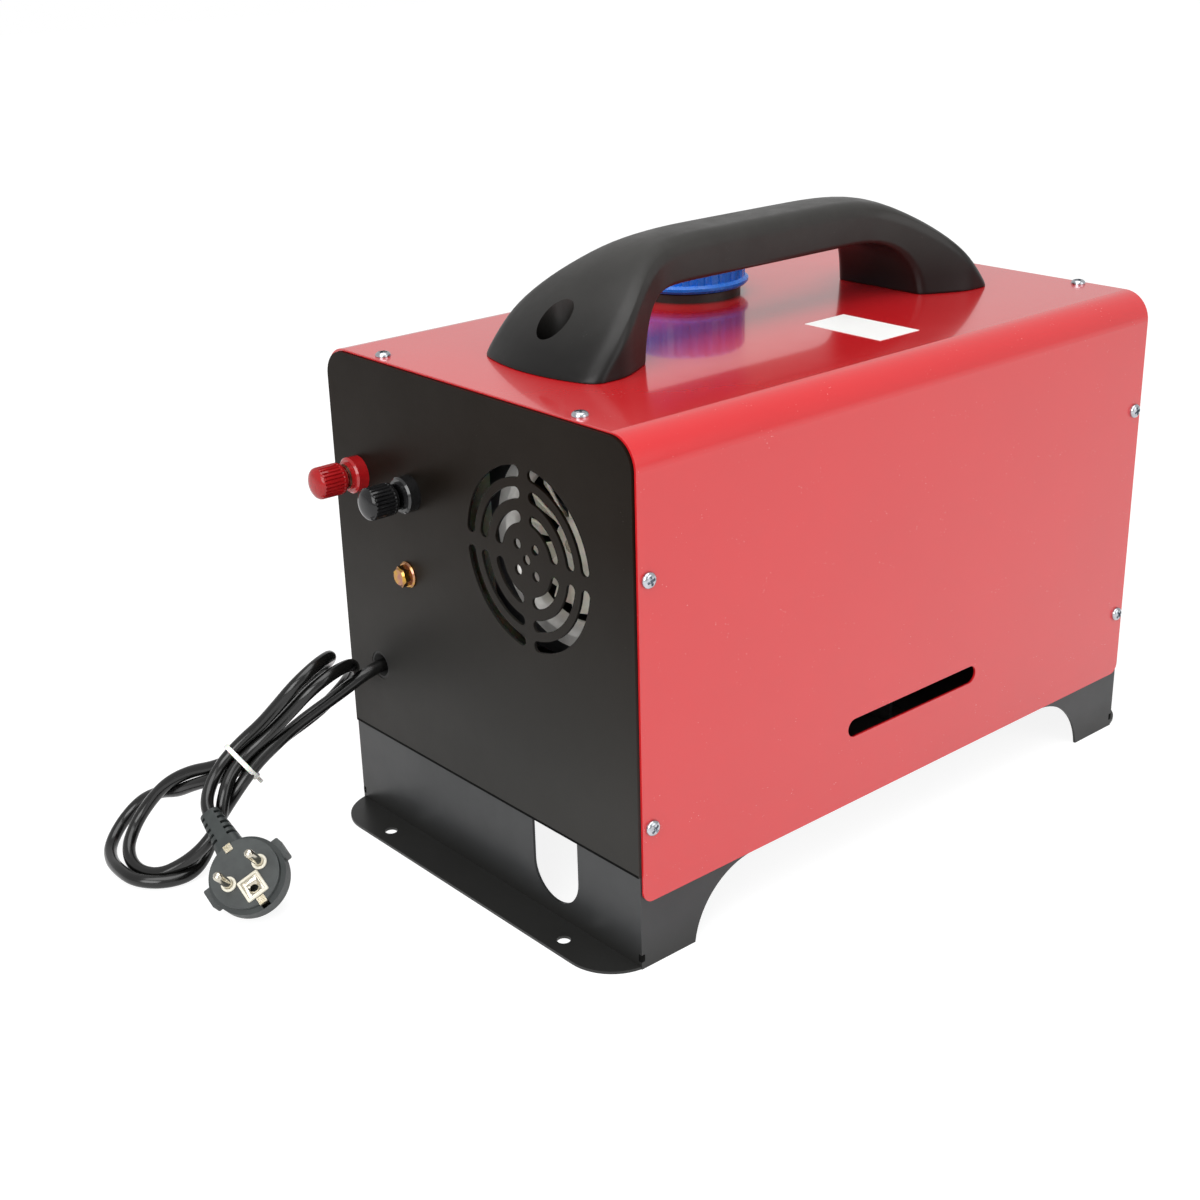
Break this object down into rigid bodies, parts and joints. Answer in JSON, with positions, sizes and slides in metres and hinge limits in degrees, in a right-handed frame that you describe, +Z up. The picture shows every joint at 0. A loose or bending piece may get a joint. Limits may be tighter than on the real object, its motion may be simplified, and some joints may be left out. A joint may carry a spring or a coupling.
{
  "type": "portable diesel air heater",
  "caption": "Portable diesel air heater in a red and black steel case with a carrying handle, fuel tank, filler cap, fan grille, binding posts and a tied mains lead.",
  "frame": {"origin": "on the floor, at the centre of the four floor-fixing holes of the base tray", "axes": "+Z up; +X along the case from the air inlet and its grille to the warm-air outlet; -Y is the heater core's side, +Y the fuel tank's side"},
  "size_m": [0.556, 0.2951, 0.327],
  "materials": {
    "black_powder_coat": "satin powder coat",
    "zinc_steel": "bright zinc plated",
    "red_paint": "gloss paint",
    "handle_plastic": "fine grained",
    "black_steel_screw": "black oxide",
    "natural_polyethylene": "natural, satin",
    "collar_plastic": "satin",
    "black_nylon": "satin",
    "cast_aluminium": "as cast",
    "circuit_board": "solder resist",
    "motor_steel": "plated",
    "stainless_steel": "satin",
    "aluminium_tube": "satin",
    "nitrile_rubber": "matte",
    "control_plastic": "satin",
    "display_glass": "polished",
    "red_post_plastic": "polished",
    "black_post_plastic": "polished",
    "plated_brass": "bright plated",
    "yellow_zinc_steel": "yellow passivated",
    "black_pvc": "gloss",
    "white_tie_nylon": "satin",
    "plug_pvc": "satin",
    "nickel_brass": "nickel plated",
    "blue_cap_plastic": "satin",
    "ivory_fan_plastic": "satin",
    "grey_key_rubber": "matte"
  },
  "bodies": {
    "chassis": {"base_tray": "black_powder_coat", "cover_screws": "zinc_steel", "tray_screws": "zinc_steel", "inlet_end_panel": "black_powder_coat", "cover": "red_paint", "carry_handle": "handle_plastic", "handle_screws": "black_steel_screw", "handle_nuts": "zinc_steel", "fuel_tank": "natural_polyethylene", "tank_straps": "black_powder_coat", "filler_collar": "collar_plastic", "upper_shell": "black_nylon", "lower_shell": "black_nylon", "inlet_ring": "zinc_steel", "blower_housing": "cast_aluminium", "control_board": "circuit_board", "blower_motor": "motor_steel", "heat_exchanger": "cast_aluminium", "combustion_chamber": "motor_steel", "glow_plug": "stainless_steel", "exhaust_pipe": "stainless_steel", "intake_pipe": "aluminium_tube", "core_bracket": "black_powder_coat", "fuel_pump": "motor_steel", "pump_holder": "black_powder_coat", "fuel_filter": "black_nylon", "supply_hose": "nitrile_rubber", "burner_hose": "nitrile_rubber", "power_supply": "aluminium_tube", "outlet_end_panel": "black_powder_coat", "outlet_collar": "black_nylon", "control_bezel": "control_plastic", "display_window": "display_glass", "red_post_base": "red_post_plastic", "black_post_base": "black_post_plastic", "post_studs": "plated_brass", "post_nuts": "zinc_steel", "earth_bolt": "yellow_zinc_steel", "cable_grommet": "nitrile_rubber", "mains_lead": "black_pvc", "lead_hank": "black_pvc", "plug_lead": "black_pvc", "cable_tie": "white_tie_nylon", "plug_body": "plug_pvc", "plug_pins": "nickel_brass", "plug_earth_contacts": "nickel_brass"},
    "cap_carrier": {"cap_seal": "nitrile_rubber"},
    "cap": {"filler_cap": "blue_cap_plastic"},
    "rotor": {"motor_shaft": "zinc_steel", "air_impeller": "ivory_fan_plastic", "combustion_impeller": "black_nylon"},
    "louvre": {"outlet_louvre": "black_nylon"},
    "power_key": {"power_button": "grey_key_rubber"},
    "down_key": {"down_button": "grey_key_rubber"},
    "up_key": {"up_button": "grey_key_rubber"},
    "set_key": {"set_button": "grey_key_rubber"},
    "red_carrier": {"red_clamp_washer": "plated_brass"},
    "red_knob": {"red_post_knob": "red_post_plastic"},
    "black_carrier": {"black_clamp_washer": "plated_brass"},
    "black_knob": {"black_post_knob": "black_post_plastic"}
  },
  "joints": [
    {"name": "cap_lift", "type": "slide", "parent": "chassis", "child": "cap_carrier", "axis": [0, 0, 1], "range_m": [0, 0.009]},
    {"name": "cap_turn", "type": "hinge", "parent": "cap_carrier", "child": "cap", "pos_m": [0.021, 0.073, 0.288], "axis": [0, 0, 1], "range_deg": [0, 540]},
    {"name": "rotor_spin", "type": "hinge", "parent": "chassis", "child": "rotor", "pos_m": [-0.158, -0.044, 0.1933], "axis": [1, 0, 0], "continuous": true},
    {"name": "louvre_turn", "type": "hinge", "parent": "chassis", "child": "louvre", "pos_m": [0.205, -0.044, 0.1933], "axis": [1, 0, 0], "continuous": true},
    {"name": "power_press", "type": "slide", "parent": "chassis", "child": "power_key", "axis": [-1, 0, 0], "range_m": [0, 0.001], "stiffness_N_per_m": 200},
    {"name": "down_press", "type": "slide", "parent": "chassis", "child": "down_key", "axis": [-1, 0, 0], "range_m": [0, 0.001], "stiffness_N_per_m": 200},
    {"name": "up_press", "type": "slide", "parent": "chassis", "child": "up_key", "axis": [-1, 0, 0], "range_m": [0, 0.001], "stiffness_N_per_m": 200},
    {"name": "set_press", "type": "slide", "parent": "chassis", "child": "set_key", "axis": [-1, 0, 0], "range_m": [0, 0.001], "stiffness_N_per_m": 200},
    {"name": "red_knob_travel", "type": "slide", "parent": "chassis", "child": "red_carrier", "axis": [-1, 0, 0], "range_m": [0, 0.0024]},
    {"name": "red_knob_turn", "type": "hinge", "parent": "red_carrier", "child": "red_knob", "pos_m": [-0.212, 0.0976, 0.2045], "axis": [-1, 0, 0], "range_deg": [0, 1080]},
    {"name": "black_knob_travel", "type": "slide", "parent": "chassis", "child": "black_carrier", "axis": [-1, 0, 0], "range_m": [0, 0.0024]},
    {"name": "black_knob_turn", "type": "hinge", "parent": "black_carrier", "child": "black_knob", "pos_m": [-0.212, 0.0508, 0.2045], "axis": [-1, 0, 0], "range_deg": [0, 1080]}
  ],
  "couplings": [
    {"joint": "cap_turn", "follows": "cap_lift", "rad_per_m": 1047.2},
    {"joint": "red_knob_turn", "follows": "red_knob_travel", "rad_per_m": 7854},
    {"joint": "black_knob_turn", "follows": "black_knob_travel", "rad_per_m": 7854}
  ]
}
